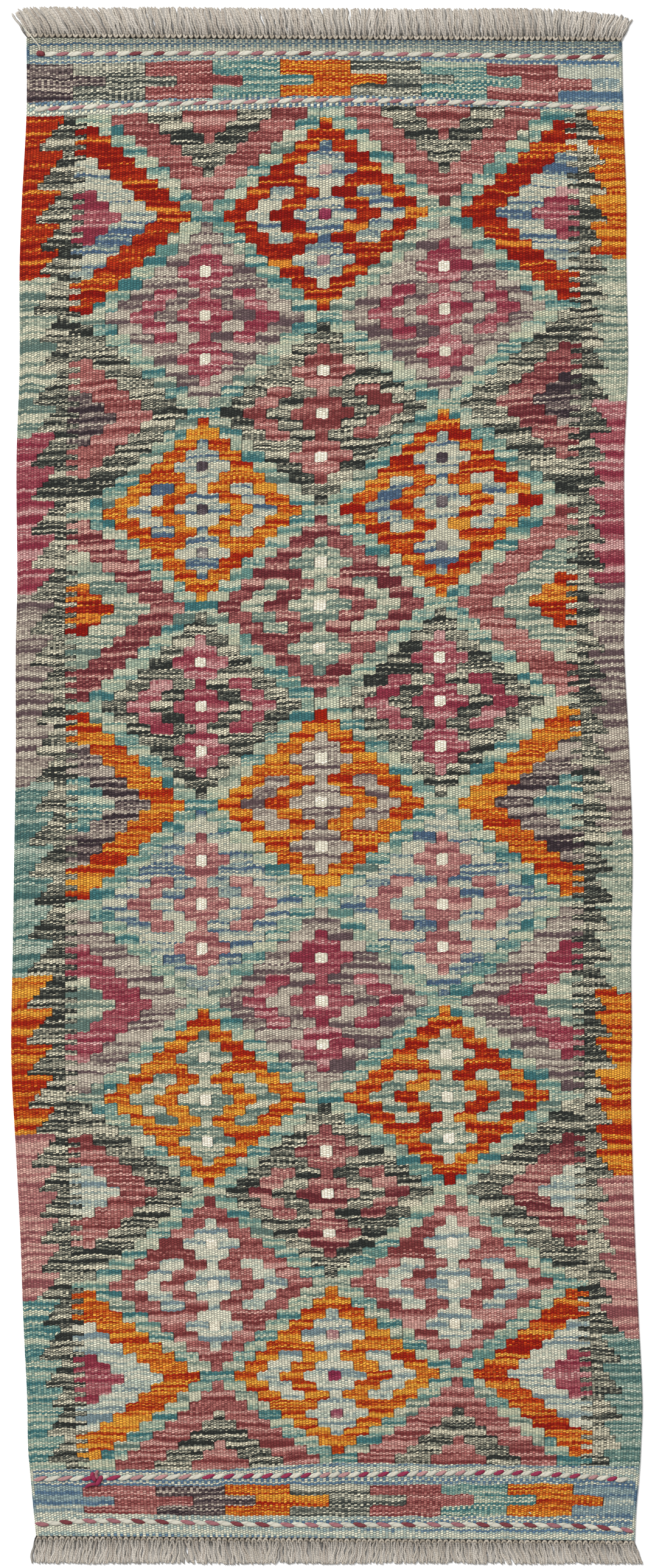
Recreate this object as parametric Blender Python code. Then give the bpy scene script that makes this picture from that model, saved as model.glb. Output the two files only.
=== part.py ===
"""A hand-woven kilim runner, spread flat on the floor.

The rug is one sheet of slit tapestry. Its warps show as ribs that run from end to end, four lines of
two-yarn twining cross it near its ends, and past each end the warps are knotted in pairs into a fringe.

Metres, +Z up. The origin is on the floor, under the middle of the rug with its fringes. Seen from above,
+Y runs to the upper end and +X to the right.
"""

from collections import namedtuple

import bmesh
import bpy
from mathutils import Vector

CLOTH_THICKNESS = 0.0030
WARP_RIBS = 207
RIB_RELIEF = 0.0005
SELVEDGE_WIDTH = 0.0060
SELVEDGE_STEP = 0.050
CLEARANCE = 0.0003

KNOTS = WARP_RIBS // 2
KNOT_SHARE = 0.74
KNOT_DEPTH = 0.0045
KNOT_SLOPE = 0.0012
KNOT_RISE = 0.0012
LOCK_HEIGHT = 0.0024
LEAN_CURVE = 1.5

STITCH_END_WIDTH = 0.0034
STITCH_WIDTH = 0.0064
STITCH_END_HEIGHT = 0.0008
STITCH_HEIGHT = 0.0018
STITCH_CREASE = 1.2

# The woven sheet's side edges wander. "along" runs up the rug, and "left" and "right" are where the edges
# lie there.
Edge = namedtuple("Edge", "along left right")
EDGES = (
    Edge(0.976, -0.393, 0.386),
    Edge(0.878, -0.393, 0.388),
    Edge(0.764, -0.399, 0.392),
    Edge(0.677, -0.402, 0.392),
    Edge(0.549, -0.402, 0.394),
    Edge(0.422, -0.406, 0.389),
    Edge(0.263, -0.405, 0.390),
    Edge(0.181, -0.407, 0.389),
    Edge(0.037, -0.407, 0.396),
    Edge(-0.088, -0.409, 0.400),
    Edge(-0.218, -0.411, 0.398),
    Edge(-0.329, -0.413, 0.399),
    Edge(-0.387, -0.412, 0.398),
    Edge(-0.456, -0.408, 0.399),
    Edge(-0.589, -0.401, 0.403),
    Edge(-0.701, -0.397, 0.408),
    Edge(-0.804, -0.392, 0.413),
    Edge(-0.864, -0.391, 0.411),
    Edge(-0.901, -0.388, 0.409),
    Edge(-0.946, -0.384, 0.405),
    Edge(-0.986, -0.380, 0.403),
)

# Where the weave ends, at its left and right corners.
WovenEnd = namedtuple("WovenEnd", "at_left at_right outward")
UPPER_END = WovenEnd(0.9775, 0.9727, 1)
LOWER_END = WovenEnd(-0.9815, -0.9875, -1)

# The ribs run straight between these places and bend a little at each of them.
RIB_BENDS = (0.549, 0.181, -0.387, -0.804)

# The warp ends lean, a lock at a time: "lean" is how far a lock's tip lies to the right of its root, and
# "reach" how far it lies past the end of the weave.
Lean = namedtuple("Lean", "across lean reach")
UPPER_LEANS = (
    Lean(-0.392, -0.019, 0.033),
    Lean(-0.365, -0.020, 0.040),
    Lean(-0.268, -0.016, 0.040),
    Lean(-0.213, -0.007, 0.041),
    Lean(-0.150, -0.005, 0.041),
    Lean(-0.105, -0.013, 0.041),
    Lean(-0.070, -0.009, 0.041),
    Lean(0.018, -0.006, 0.041),
    Lean(0.082, -0.002, 0.041),
    Lean(0.210, -0.007, 0.042),
    Lean(0.290, 0.001, 0.042),
    Lean(0.337, 0.006, 0.038),
    Lean(0.369, 0.011, 0.034),
    Lean(0.386, 0.016, 0.028),
)
LOWER_LEANS = (
    Lean(-0.380, -0.003, 0.036),
    Lean(-0.348, -0.006, 0.036),
    Lean(-0.284, -0.005, 0.036),
    Lean(-0.220, 0.002, 0.035),
    Lean(-0.165, 0.004, 0.035),
    Lean(-0.105, 0.009, 0.035),
    Lean(-0.069, 0.000, 0.034),
    Lean(-0.020, 0.002, 0.034),
    Lean(0.066, -0.004, 0.033),
    Lean(0.130, 0.002, 0.032),
    Lean(0.209, 0.005, 0.032),
    Lean(0.257, 0.010, 0.032),
    Lean(0.329, 0.011, 0.031),
    Lean(0.403, 0.012, 0.031),
)

# How a lock of warp ends narrows and sinks from its root to its tip.
LockSection = namedtuple("LockSection", "share width height")
LOCK_SECTIONS = (
    LockSection(0.45, 0.0052, 0.0024),
    LockSection(1.00, 0.0034, 0.0012),
)

# The twined lines, from left to right. "slant" is how far a stitch's upper edge runs ahead of its lower one.
Place = namedtuple("Place", "across along")
TwinedLine = namedtuple("TwinedLine", "name stitches slant route")
TWINED_LINES = (
    TwinedLine("twined_line_1", 50, 0.004, (
        Place(-0.376, 0.956),
        Place(-0.222, 0.957),
        Place(-0.003, 0.957),
        Place(0.232, 0.954),
        Place(0.325, 0.952),
        Place(0.382, 0.953),
    )),
    TwinedLine("twined_line_2", 48, 0.004, (
        Place(-0.381, 0.884),
        Place(-0.236, 0.890),
        Place(-0.091, 0.894),
        Place(0.000, 0.896),
        Place(0.169, 0.893),
        Place(0.279, 0.890),
        Place(0.370, 0.884),
    )),
    TwinedLine("twined_line_3", 62, 0.006, (
        Place(-0.382, -0.907),
        Place(-0.154, -0.904),
        Place(0.072, -0.901),
        Place(0.241, -0.899),
        Place(0.337, -0.904),
        Place(0.396, -0.909),
    )),
    TwinedLine("twined_line_4", 54, -0.005, (
        Place(-0.380, -0.967),
        Place(-0.310, -0.962),
        Place(-0.179, -0.964),
        Place(-0.068, -0.967),
        Place(0.185, -0.967),
        Place(0.337, -0.969),
        Place(0.402, -0.975),
    )),
)

WOVEN_WOOL = (0.42, 0.30, 0.25)
UNDYED_WARP = (0.55, 0.51, 0.46)
TWINED_YARN = (0.56, 0.34, 0.33)
WOOL_ROUGHNESS = 0.9

NEARLY_FACING = 0.9


def mix(start, end, share):
    return start + (end - start) * share


def read(table, column, position):
    """A column's value at a position along the table's first column, on a smooth line through its rows."""
    rows = sorted(table)
    position = min(max(position, rows[0][0]), rows[-1][0])
    upper = next(i for i in range(1, len(rows)) if position <= rows[i][0])
    before, start, end, after = (
        rows[min(max(i, 0), len(rows) - 1)] for i in range(upper - 2, upper + 2)
    )
    span = end[0] - start[0]
    rise_at_start = (getattr(end, column) - getattr(before, column)) / (end[0] - before[0])
    rise_at_end = (getattr(after, column) - getattr(start, column)) / (after[0] - start[0])
    t = (position - start[0]) / span
    return (
        getattr(start, column) * (2 * t**3 - 3 * t**2 + 1)
        + rise_at_start * span * (t**3 - 2 * t**2 + t)
        + getattr(end, column) * (3 * t**2 - 2 * t**3)
        + rise_at_end * span * (t**3 - t**2)
    )


def end_point(end, share):
    """A place on the line where the weave ends: share 0 is its left corner and share 1 its right one."""
    across = mix(read(EDGES, "left", end.at_left), read(EDGES, "right", end.at_right), share)
    return across, mix(end.at_left, end.at_right, share)


def fabric(name, colour):
    material = bpy.data.materials.new(name)
    material.use_nodes = True
    shader = material.node_tree.nodes["Principled BSDF"]
    shader.inputs["Base Color"].default_value = (*colour, 1)
    shader.inputs["Roughness"].default_value = WOOL_ROUGHNESS
    shader.inputs["Metallic"].default_value = 0
    return material


def add_part(name, bm, material):
    """Turns a finished bmesh into one named object of the rug's collection."""
    bmesh.ops.recalc_face_normals(bm, faces=bm.faces)
    mesh = bpy.data.meshes.new(name)
    bm.to_mesh(mesh)
    bm.free()
    mesh.materials.append(material)
    part = bpy.data.objects.new(name, mesh)
    bpy.data.collections["kilim_rug"].objects.link(part)
    return part


# --- The woven sheet ---


def rib_line_point(line, bend):
    """A point of the woven face, on one of the lines that run along the crests and the grooves."""
    last_line = 2 * WARP_RIBS + 2
    share = line / last_line
    height = CLOTH_THICKNESS - RIB_RELIEF * (line % 2)
    if 0 < bend <= len(RIB_BENDS):
        along = RIB_BENDS[bend - 1]
        left = read(EDGES, "left", along) + SELVEDGE_WIDTH
        right = read(EDGES, "right", along) - SELVEDGE_WIDTH
        return mix(left, right, share), along, height
    end = UPPER_END if bend == 0 else LOWER_END
    inset = SELVEDGE_WIDTH / (end_point(end, 1)[0] - end_point(end, 0)[0])
    return (*end_point(end, mix(inset, 1 - inset, share)), height)


def ribbed_face(bm):
    """The woven face between the selvedges. It returns its points, a list for each bend of the ribs."""
    lines = 2 * WARP_RIBS + 3
    bends = len(RIB_BENDS) + 2
    bmesh.ops.create_grid(bm, x_segments=lines - 1, y_segments=bends - 1, size=0.5)
    rows = [[None] * lines for _ in range(bends)]
    for point in bm.verts:
        line = round((point.co.x + 0.5) * (lines - 1))
        bend = round((0.5 - point.co.y) * (bends - 1))
        point.co = rib_line_point(line, bend)
        rows[bend][line] = point
    return rows


def selvedge(bm, side, inner):
    """One side's edge strip and wall, from the upper end to the lower.

    "inner" is the outermost rib line, a point for each bend. It returns the wall's points, top and bottom.
    """
    corner = 0 if side == "left" else 1
    stops = (end_point(UPPER_END, corner)[1], *RIB_BENDS, end_point(LOWER_END, corner)[1])
    top = [bm.verts.new((*end_point(UPPER_END, corner), CLOTH_THICKNESS))]
    for number, (start, end) in enumerate(zip(stops, stops[1:])):
        steps = round((start - end) / SELVEDGE_STEP)
        first = len(top) - 1
        for step in range(1, steps + 1):
            along = mix(start, end, step / steps)
            top.append(bm.verts.new((read(EDGES, side, along), along, CLOTH_THICKNESS)))
        bm.faces.new((*top[first:], inner[number + 1], inner[number]))
    bottom = [bm.verts.new((point.co.x, point.co.y, 0)) for point in top]
    for i in range(len(top) - 1):
        bm.faces.new((top[i], bottom[i], bottom[i + 1], top[i + 1]))
    return top, bottom


def make_cloth(material):
    bm = bmesh.new()
    rows = ribbed_face(bm)
    left_top, left_bottom = selvedge(bm, "left", [row[0] for row in rows])
    right_top, right_bottom = selvedge(bm, "right", [row[-1] for row in rows])
    for end in (0, -1):
        bm.faces.new((left_top[end], *rows[end], right_top[end], right_bottom[end], left_bottom[end]))
    bm.faces.new((*left_bottom, *reversed(right_bottom)))
    add_part("kilim_cloth", bm, material)


# --- The fringes ---


def knot_line_share(line):
    """Where a line that bounds a knot lies across the rug. The first and last lines are the strip's ends."""
    if line == 0:
        return 0
    if line == 2 * KNOTS + 1:
        return 1
    knot, is_right_side = divmod(line - 1, 2)
    return (knot + 0.5 + KNOT_SHARE * (is_right_side - 0.5)) / KNOTS


def knotted_strip(bm, end):
    """The strip that holds the knots, parted from the edge of the weave: knots and gaps, side by side."""
    cells = 2 * KNOTS + 1
    bmesh.ops.create_grid(bm, x_segments=cells, y_segments=1, size=0.5)
    for point in bm.verts:
        across, along = end_point(end, knot_line_share(round((point.co.x + 0.5) * cells)))
        depth = CLEARANCE + (KNOT_DEPTH if point.co.y > 0 else 0)
        point.co = (across, along + depth * end.outward, 0)
    raised = bmesh.ops.extrude_face_region(bm, geom=bm.faces[:], use_keep_orig=True)["geom"]
    for point in raised:
        if isinstance(point, bmesh.types.BMVert):
            point.co.z = LOCK_HEIGHT
    bmesh.ops.recalc_face_normals(bm, faces=bm.faces)


def every_knot(bm, direction):
    """The knots' faces that point one way, from left to right. Knots and gaps alternate, from a gap."""
    facing = [face for face in bm.faces if face.normal.dot(direction) > NEARLY_FACING]
    facing.sort(key=lambda face: face.calc_center_median().x)
    return facing[1::2]


def grow_lock(bm, face, end, leans):
    """Draws a knot's outer face out into a lock of warp ends that lies on the floor."""
    root = face.calc_center_median()
    lean = read(leans, "lean", root.x)
    reach = read(leans, "reach", root.x) - KNOT_DEPTH
    for section in LOCK_SECTIONS:
        face = bmesh.ops.extrude_discrete_faces(bm, faces=[face])["faces"][0]
        middle = face.calc_center_median()
        bend = section.share**LEAN_CURVE
        for point in face.verts:
            side = 1 if point.co.x > middle.x else -1
            across = root.x + lean * bend + side * section.width / 2
            along = root.y + reach * section.share * end.outward
            point.co = (across, along, section.height if point.co.z > middle.z else 0)


def make_fringe(name, end, leans, material):
    bm = bmesh.new()
    knotted_strip(bm, end)
    knots = every_knot(bm, Vector((0, 0, 1)))
    roots = every_knot(bm, Vector((0, end.outward, 0)))
    bmesh.ops.inset_individual(bm, faces=knots, thickness=KNOT_SLOPE)
    for knot in knots:
        bmesh.ops.translate(bm, vec=(0, 0, KNOT_RISE), verts=knot.verts)
    for root in roots:
        grow_lock(bm, root, end, leans)
    add_part(name, bm, material)


# --- The twined lines ---


def make_twined_line(line, material):
    """A row of slanted, lens-shaped stitches that lies on the cloth, narrow and low between its stitches.

    It has three rows of points: its two edges, level with each other, and a ridge between them.
    """
    bm = bmesh.new()
    steps = 2 * line.stitches
    bmesh.ops.create_grid(bm, x_segments=steps, y_segments=2, size=0.5)
    start, end = line.route[0].across, line.route[-1].across
    floor = CLOTH_THICKNESS + CLEARANCE
    rows = {-1: [], 0: [], 1: []}
    for point in sorted(bm.verts, key=lambda point: point.co.x):
        step = round((point.co.x + 0.5) * steps)
        side = round(2 * point.co.y)
        is_middle = step % 2
        width = STITCH_WIDTH if is_middle else STITCH_END_WIDTH
        height = STITCH_HEIGHT if is_middle else STITCH_END_HEIGHT
        across = mix(start, end, step / steps)
        along = read(line.route, "along", across) + side * width / 2
        point.co = (across + side * line.slant / 2, along, floor + (0 if side else height))
        rows[side].append(point)
    lower, ridge, upper = rows[-1], rows[0], rows[1]
    for step in range(steps):
        bm.faces.new((lower[step], lower[step + 1], upper[step + 1], upper[step]))
    for tip in (0, -1):
        bm.faces.new((lower[tip], ridge[tip], upper[tip]))
    part = add_part(line.name, bm, material)
    part.data.shade_smooth()
    part.data.set_sharp_from_angle(angle=STITCH_CREASE)


def main():
    for item in list(bpy.data.objects):
        bpy.data.objects.remove(item)
    collection = bpy.data.collections.new("kilim_rug")
    bpy.context.scene.collection.children.link(collection)
    make_cloth(fabric("woven_wool", WOVEN_WOOL))
    undyed = fabric("undyed_warp", UNDYED_WARP)
    make_fringe("fringe_top", UPPER_END, UPPER_LEANS, undyed)
    make_fringe("fringe_bottom", LOWER_END, LOWER_LEANS, undyed)
    twined = fabric("twined_yarn", TWINED_YARN)
    for line in TWINED_LINES:
        make_twined_line(line, twined)


main()
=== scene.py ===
import math
import random
from bisect import bisect_right
from collections import namedtuple

import bpy
import numpy as np
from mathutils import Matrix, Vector


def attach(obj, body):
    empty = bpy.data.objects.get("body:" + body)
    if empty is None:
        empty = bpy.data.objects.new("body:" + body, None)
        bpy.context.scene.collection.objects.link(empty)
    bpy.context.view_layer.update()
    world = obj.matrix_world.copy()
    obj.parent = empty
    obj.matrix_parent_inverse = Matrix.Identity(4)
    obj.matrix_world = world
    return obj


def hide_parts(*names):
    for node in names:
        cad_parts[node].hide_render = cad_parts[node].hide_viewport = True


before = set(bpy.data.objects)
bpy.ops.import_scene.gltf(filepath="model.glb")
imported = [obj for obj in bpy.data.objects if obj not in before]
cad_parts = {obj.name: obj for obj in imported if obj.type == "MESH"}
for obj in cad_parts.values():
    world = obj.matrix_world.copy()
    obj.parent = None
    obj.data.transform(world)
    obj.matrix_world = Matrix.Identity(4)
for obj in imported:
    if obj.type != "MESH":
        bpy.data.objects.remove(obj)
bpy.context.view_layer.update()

# The looks of a hand-woven kilim runner. Places on it were measured in pixels of its photograph, which
# PIXEL turns into metres. Across the rug they count warp ribs from the left selvedge, and along it they
# count block rows: the steps of the pattern are a block row high and a block of four ribs wide.

PIXEL = 0.000796
MM = 0.001
MIDDLE_PX = (537, 1290)
PHOTO_PX = (1088, 2576)

RIBS = 204
RIBS_PER_BLOCK = 4
MIDDLE_BLOCK = 25
FIELD_BLOCK = 20
SIDE_RIBS = 20
BLOCK_ROWS = 127
PARTS_PER_ROW = 4
GRAINS_PER_ROW = 6
MEDALLION_STEP = 9
MEDALLION_REACH = 8
MEDALLION_SPACING = 10

CLOTH_THICKNESS = 0.0030
RIB_RELIEF = 0.0005
GRAIN_HEIGHT = 0.0024
GRAIN_SHIFT = 0.25
BEAT_SWING = 0.0007
BEAT_SEED = 5
CORNER_ROUNDING = 0.0014
CREST_ROUNDING = 0.55
SETT_SWING_PX = 4
SELVEDGE_PX = 5
SELVEDGE_RIBS = 1.5
EDGE_RIB = 0.2

# The rolled selvedge's points, from the outermost rib over the top to the back: how far out each lies, as
# a share of the roll, and its height.
SELVEDGE_TOPS = 4
SELVEDGE = (
    (0.25, CLOTH_THICKNESS - 0.0002),
    (0.60, CLOTH_THICKNESS + 0.0002),
    (0.90, CLOTH_THICKNESS - 0.0005),
    (1.00, CLOTH_THICKNESS * 0.5),
    (0.85, 0.0004),
    (0.40, 0.0),
)
ROLL = len(SELVEDGE) + 1

# --- Where the weave lies ---

# The side edges, in millimetres: along the rug, then the left and the right edge.
EDGES = (
    (-986, -380, 403), (-946, -384, 405), (-901, -388, 409),
    (-864, -391, 411), (-804, -392, 413), (-701, -397, 408),
    (-589, -401, 403), (-456, -408, 399), (-387, -412, 398),
    (-329, -413, 399), (-218, -411, 398), (-88, -409, 400),
    (37, -407, 396), (181, -407, 389), (263, -405, 390),
    (422, -406, 389), (549, -402, 394), (677, -402, 392),
    (764, -399, 392), (878, -393, 388), (976, -393, 386),
)

# Five warps were followed down the rug. Each row gives, where a row of medallions has its middle, the
# pixels that the warps cross there and the pixels that the weft lies at on each of them.
STATION_RIBS = (0, 22, 62, 102, 142, 182, 204)
WARPS_PX = (
    (153, 345, 536, 728.5, 918),
    (148, 341, 534.3, 731, 924.5),
    (142, 337, 531.3, 731, 927),
    (140, 335, 529.5, 729, 926.5),
    (137.5, 332.4, 527.5, 726.5, 923),
    (136, 331, 525.7, 724.5, 920.5),
    (136.5, 330.5, 527, 723.5, 925),
    (137.5, 330.7, 528, 725, 930),
    (137, 331.3, 528.3, 727.3, 930.5),
    (137, 334, 529, 730.5, 931),
    (139.5, 338, 533, 735.3, 933),
    (144, 344, 538.5, 740, 935.5),
    (147, 350.7, 544.5, 746, 939.5),
    (150, 357, 550, 750.5, 943.5),
    (157, 363, 556, 754, 945),
)
WEFTS_PX = (
    (198, 190.5, 184.5, 183, 188),
    (358, 355.7, 352.5, 348, 350),
    (524.5, 517.8, 520, 506.8, 502),
    (690, 678.2, 679.5, 663.8, 653.5),
    (846, 836.5, 838.5, 823.1, 820),
    (1002, 998.4, 994, 990.2, 986),
    (1161.5, 1160.9, 1155.7, 1151.3, 1151),
    (1321, 1322.9, 1317.9, 1319.4, 1316.5),
    (1487, 1485.5, 1482.3, 1485, 1480),
    (1652, 1648.4, 1644.2, 1644.4, 1643),
    (1805, 1807.5, 1803.2, 1801, 1800),
    (1957.5, 1958.6, 1960.9, 1954.7, 1957),
    (2112, 2111.5, 2106.5, 2109.3, 2108),
    (2266.5, 2261, 2260.7, 2256, 2258),
    (2406, 2406, 2396, 2398, 2400),
)
STATION_ROWS = range(0, BLOCK_ROWS, MEDALLION_STEP)
# Past the outermost warps, the weft goes on at this share of its last step.
OUTER_SLOPE = 0.3
# The same for the weft lines that bound the bands at both ends. The first and the last end the weave.
UPPER_LINES_PX = (
    (62, 62.8, 64, 65, 66, 67.4, 68.2),
    (105.5, 105, 99, 98, 101, 107, 108),
    (127, 125, 124, 122, 122, 128, 130),
    (143, 142, 141, 139, 137.5, 148, 150),
    (168, 166, 162, 157, 160, 167, 169),
)
LOWER_LINES_PX = (
    (2441, 2442, 2440, 2439, 2439, 2438, 2440),
    (2458, 2458, 2457, 2456, 2456, 2456, 2459),
    (2474, 2474, 2474, 2475, 2473, 2473, 2476),
    (2485, 2486, 2490, 2491, 2491, 2491, 2494),
    (2523, 2523.8, 2525.3, 2526.8, 2528.3, 2529.8, 2530.6),
)
# The grains of yarn above each of those lines, from the upper end and from the field's lower end.
UPPER_GRAINS = (0, 14, 22, 28, 35)
FIELD_GRAIN = 39
LOWER_GRAINS = (10, 16, 22, 28, 39)

# --- The dyed wools ---

# Each wool runs through three tones along its yarn. The shares say where the low tone ends and the high
# tone starts, and marl is how much the two plies of its yarn differ, all in hundredths as colours are. Dye
# is how many ribs the yarn crosses before its tone changes.
Wool = namedtuple("Wool", "low middle high low_share high_share marl dye")
RED_ORANGE = Wool((48, 6, 3), (63, 17, 6), (83, 53, 18), 38, 74, 15, 62)
ORANGE = Wool((58, 11, 3), (74, 36, 9), (84, 61, 21), 33, 59, 55, 50)
ORANGE_RED = Wool((53, 7, 3), (72, 26, 6), (83, 59, 22), 39, 65, 40, 58)
ROSE = Wool((43, 19, 19), (61, 37, 35), (76, 58, 54), 36, 68, 25, 60)
MAROON = Wool((38, 15, 17), (57, 33, 32), (76, 59, 54), 38, 68, 25, 60)
PINK = Wool((50, 28, 29), (65, 44, 42), (77, 61, 56), 34, 64, 30, 51)
MAGENTA = Wool((49, 17, 23), (60, 33, 35), (76, 60, 58), 38, 72, 20, 58)
TAUPE = Wool((35, 28, 29), (60, 55, 50), (74, 70, 63), 37, 60, 25, 64)
PURPLE = Wool((20, 16, 18), (43, 37, 36), (70, 65, 59), 43, 62, 15, 64)
CHARCOAL = Wool((16, 17, 16), (45, 46, 41), (82, 79, 69), 44, 62, 75, 48)
BAND_CHARCOAL = Wool((21, 23, 22), (49, 50, 45), (79, 77, 68), 38, 58, 55, 56)
SKY = Wool((27, 35, 44), (57, 62, 57), (77, 75, 65), 28, 51, 10, 66)
MINT = Wool((34, 42, 39), (61, 64, 56), (78, 76, 66), 34, 58, 25, 51)
PALE = Wool((43, 50, 52), (68, 71, 64), (80, 78, 69), 30, 53, 15, 60)
TEAL = Wool((22, 40, 41), (48, 59, 54), (74, 74, 64), 40, 62, 15, 51)
DEEP_TEAL = Wool((25, 38, 37), (46, 56, 51), (68, 71, 64), 38, 64, 45, 51)
CREAM_TEAL = Wool((35, 49, 46), (59, 64, 56), (74, 73, 62), 34, 58, 15, 51)
BLUE_BAND = Wool((30, 40, 49), (52, 59, 58), (73, 73, 65), 36, 62, 0, 240)
BLUE_STRIP = Wool((31, 41, 50), (57, 63, 59), (76, 75, 66), 24, 50, 0, 250)
WHITE = Wool((80, 77, 69), (87, 84, 76), (92, 89, 82), 20, 60, 0, 70)
DARK_DOT = Wool((24, 20, 22), (33, 29, 31), (45, 41, 41), 35, 70, 0, 70)
GREY_DOT = Wool((44, 41, 41), (63, 60, 56), (75, 72, 66), 35, 60, 20, 70)
MAROON_DOT = Wool((46, 14, 24), (54, 20, 30), (62, 30, 37), 35, 75, 0, 70)
PINK_DOT = Wool((52, 26, 32), (65, 48, 48), (76, 65, 60), 30, 62, 10, 70)
SIDE_DYE = 2.0

# The first and the last row of medallions are cut ones, and the rows between them are whole. These have a
# left and a right wool, that of their insides, and their dots'. Every other row has halves at both sides.
# Halves and cut medallions are given from their outer ring to their core.
CUT_MEDALLION = (ROSE, CHARCOAL, ROSE)
WHITE_DOTS = (WHITE, WHITE, WHITE)
PINK_DOTS = (PINK_DOT, MAROON_DOT, PINK_DOT)
Whole = namedtuple("Whole", "left right inside dots", defaults=(WHITE_DOTS,))
MEDALLIONS = {
    1: Whole(RED_ORANGE, RED_ORANGE, SKY, PINK_DOTS),
    2: Whole(TAUPE, TAUPE, MAGENTA),
    3: Whole(CHARCOAL, CHARCOAL, ROSE),
    4: Whole(ORANGE, ORANGE_RED, SKY, (DARK_DOT, DARK_DOT, GREY_DOT)),
    5: Whole(MAROON, MAROON, MINT),
    6: Whole(CHARCOAL, CHARCOAL, MAGENTA),
    7: Whole(ORANGE, ORANGE, TAUPE),
    8: Whole(SKY, SKY, PINK),
    9: Whole(TAUPE, TAUPE, MAGENTA),
    10: Whole(ORANGE, ORANGE_RED, MINT),
    11: Whole(CHARCOAL, CHARCOAL, MAROON),
    12: Whole(ROSE, ROSE, PALE),
    13: Whole(ORANGE, ORANGE, PALE, PINK_DOTS),
}
HALVES = {
    1: ((RED_ORANGE, SKY, MAGENTA),) * 2,
    3: ((CHARCOAL, ROSE, PURPLE), (CHARCOAL, MAROON, PURPLE)),
    5: ((MAROON, MINT, RED_ORANGE), (ROSE, MINT, ORANGE_RED)),
    7: ((ORANGE, PURPLE, TEAL),) * 2,
    9: ((TAUPE, MAGENTA, MINT),) * 2,
    11: ((CHARCOAL, ROSE, PALE), (CHARCOAL, MAROON, PALE)),
    13: ((ORANGE, PALE, MAGENTA), (ORANGE_RED, PALE, MAGENTA)),
}
# The blocks that the middles of medallions lie at, on even and on odd rows.
MIDDLES = ((-MEDALLION_SPACING, MEDALLION_SPACING), (-FIELD_BLOCK, 0, FIELD_BLOCK))
DOT_ROW = 4
CROSS_REACH = 2
HOOK_START = 3
HOOK_RINGS = (5, 6)
RING_WIDTH = 3
INSIDE_ROWS = 3
# The lattice between the medallions changes from row to row and from lane to lane.
LANE_BLOCKS = 6
LANES_PER_MINT = 5

# Each side border has blocks of wool down to the pixels given, with a toothed inner edge. The pixels that
# its teeth start at follow. Each tooth steps back over the ribs named.
Side = namedtuple("Side", "blocks teeth_px")
LEFT_SIDE = Side(
    (
        (456, RED_ORANGE), (710, MINT), (973, MAGENTA), (1286, TAUPE),
        (1600, DEEP_TEAL), (1863, ORANGE), (2130, PINK), (2430, TEAL),
    ),
    (
        190, 249, 312, 367, 411, 453, 518, 563, 612, 665, 712, 768, 823, 878, 933, 987, 1042, 1095,
        1140, 1190, 1240, 1285, 1335, 1388, 1440, 1487, 1545, 1603, 1657, 1715, 1767, 1820, 1863, 1917,
        1958, 2000, 2043, 2090, 2133, 2180, 2235, 2280, 2312, 2360, 2402, 2450,
    ),
)
RIGHT_SIDE = Side(
    (
        (420, ORANGE), (658, MINT), (957, MAGENTA), (1364, TAUPE),
        (1622, MINT), (1932, ORANGE), (2187, PINK), (2430, DEEP_TEAL),
    ),
    (
        188, 230, 273, 321, 366, 405, 452, 493, 532, 570, 614, 658, 710, 757, 802, 848, 893, 937, 978,
        1022, 1070, 1115, 1160, 1207, 1255, 1300, 1345, 1388, 1435, 1482, 1530, 1580, 1625, 1662, 1705,
        1757, 1803, 1848, 1888, 1935, 1975, 2015, 2060, 2103, 2143, 2190, 2240, 2290, 2335, 2380, 2450,
    ),
)
TOOTH_STEP_PX = 11.5
TOOTH_STEP_RIBS = 2
TOOTH_RIBS = (12, 10, 8, 6, 4)

# The end bands: the ribs where a new wool starts, in their outer rows and in the middle one.
ArrowBand = namedtuple("ArrowBand", "outer_ribs middle_ribs wools strip_seed")
UPPER_ARROWS = ArrowBand(
    (15, 39, 63, 87, 110, 134, 158, 182),
    (26, 50, 74, 98, 122, 146, 170, 194),
    (PURPLE, BAND_CHARCOAL, ROSE, TEAL, ORANGE, BAND_CHARCOAL, TEAL, ROSE, BLUE_BAND),
    11,
)
LOWER_ARROWS = ArrowBand(
    (17, 40, 63, 86, 112, 136, 160, 182),
    (27, 52, 74, 99, 124, 148, 170, 193),
    (BLUE_BAND, ROSE, PURPLE, ORANGE, BAND_CHARCOAL, ROSE, TEAL, ORANGE, BLUE_BAND),
    8,
)
ARROW_ROWS = 3

# Seeds of the areas outside the field. Inside it, an area's seed is a hash below HASHES.
HASHES = 1000
BLOCK_SEED = 20
LEFT_SEED = 50
BORDER_SEED = 90
ARROW_SEED = 300

# --- The fringes and the twined lines ---

# The weave's ends: their left and right corners along the rug, and which way is outward.
WovenEnd = namedtuple("WovenEnd", "at_left at_right outward")
UPPER_END = WovenEnd(0.9775, 0.9727, 1)
LOWER_END = WovenEnd(-0.9815, -0.9875, -1)

KNOTS = 103
KNOT_RADIUS = 0.0015
KNOT_HEIGHT = 0.0036
KNOT_CREST = 0.0014
KNOT_TIP = (-0.0008, 0.0020)
KNOT_WIDTHS = (0.00527, 0.006696)
KNOT_REACHES = (0.00527, 0.00713)
KNOT_SWELL = (0.6, 1.1)
KNOT_ARCH = 0.7
KNOT_SECTIONS = 9
KNOT_SIDES = 8
KNOT_TURNS = 0.8
KNOT_TONES = ((67, 63, 57), (61, 57, 51), (71, 67, 61))

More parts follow.
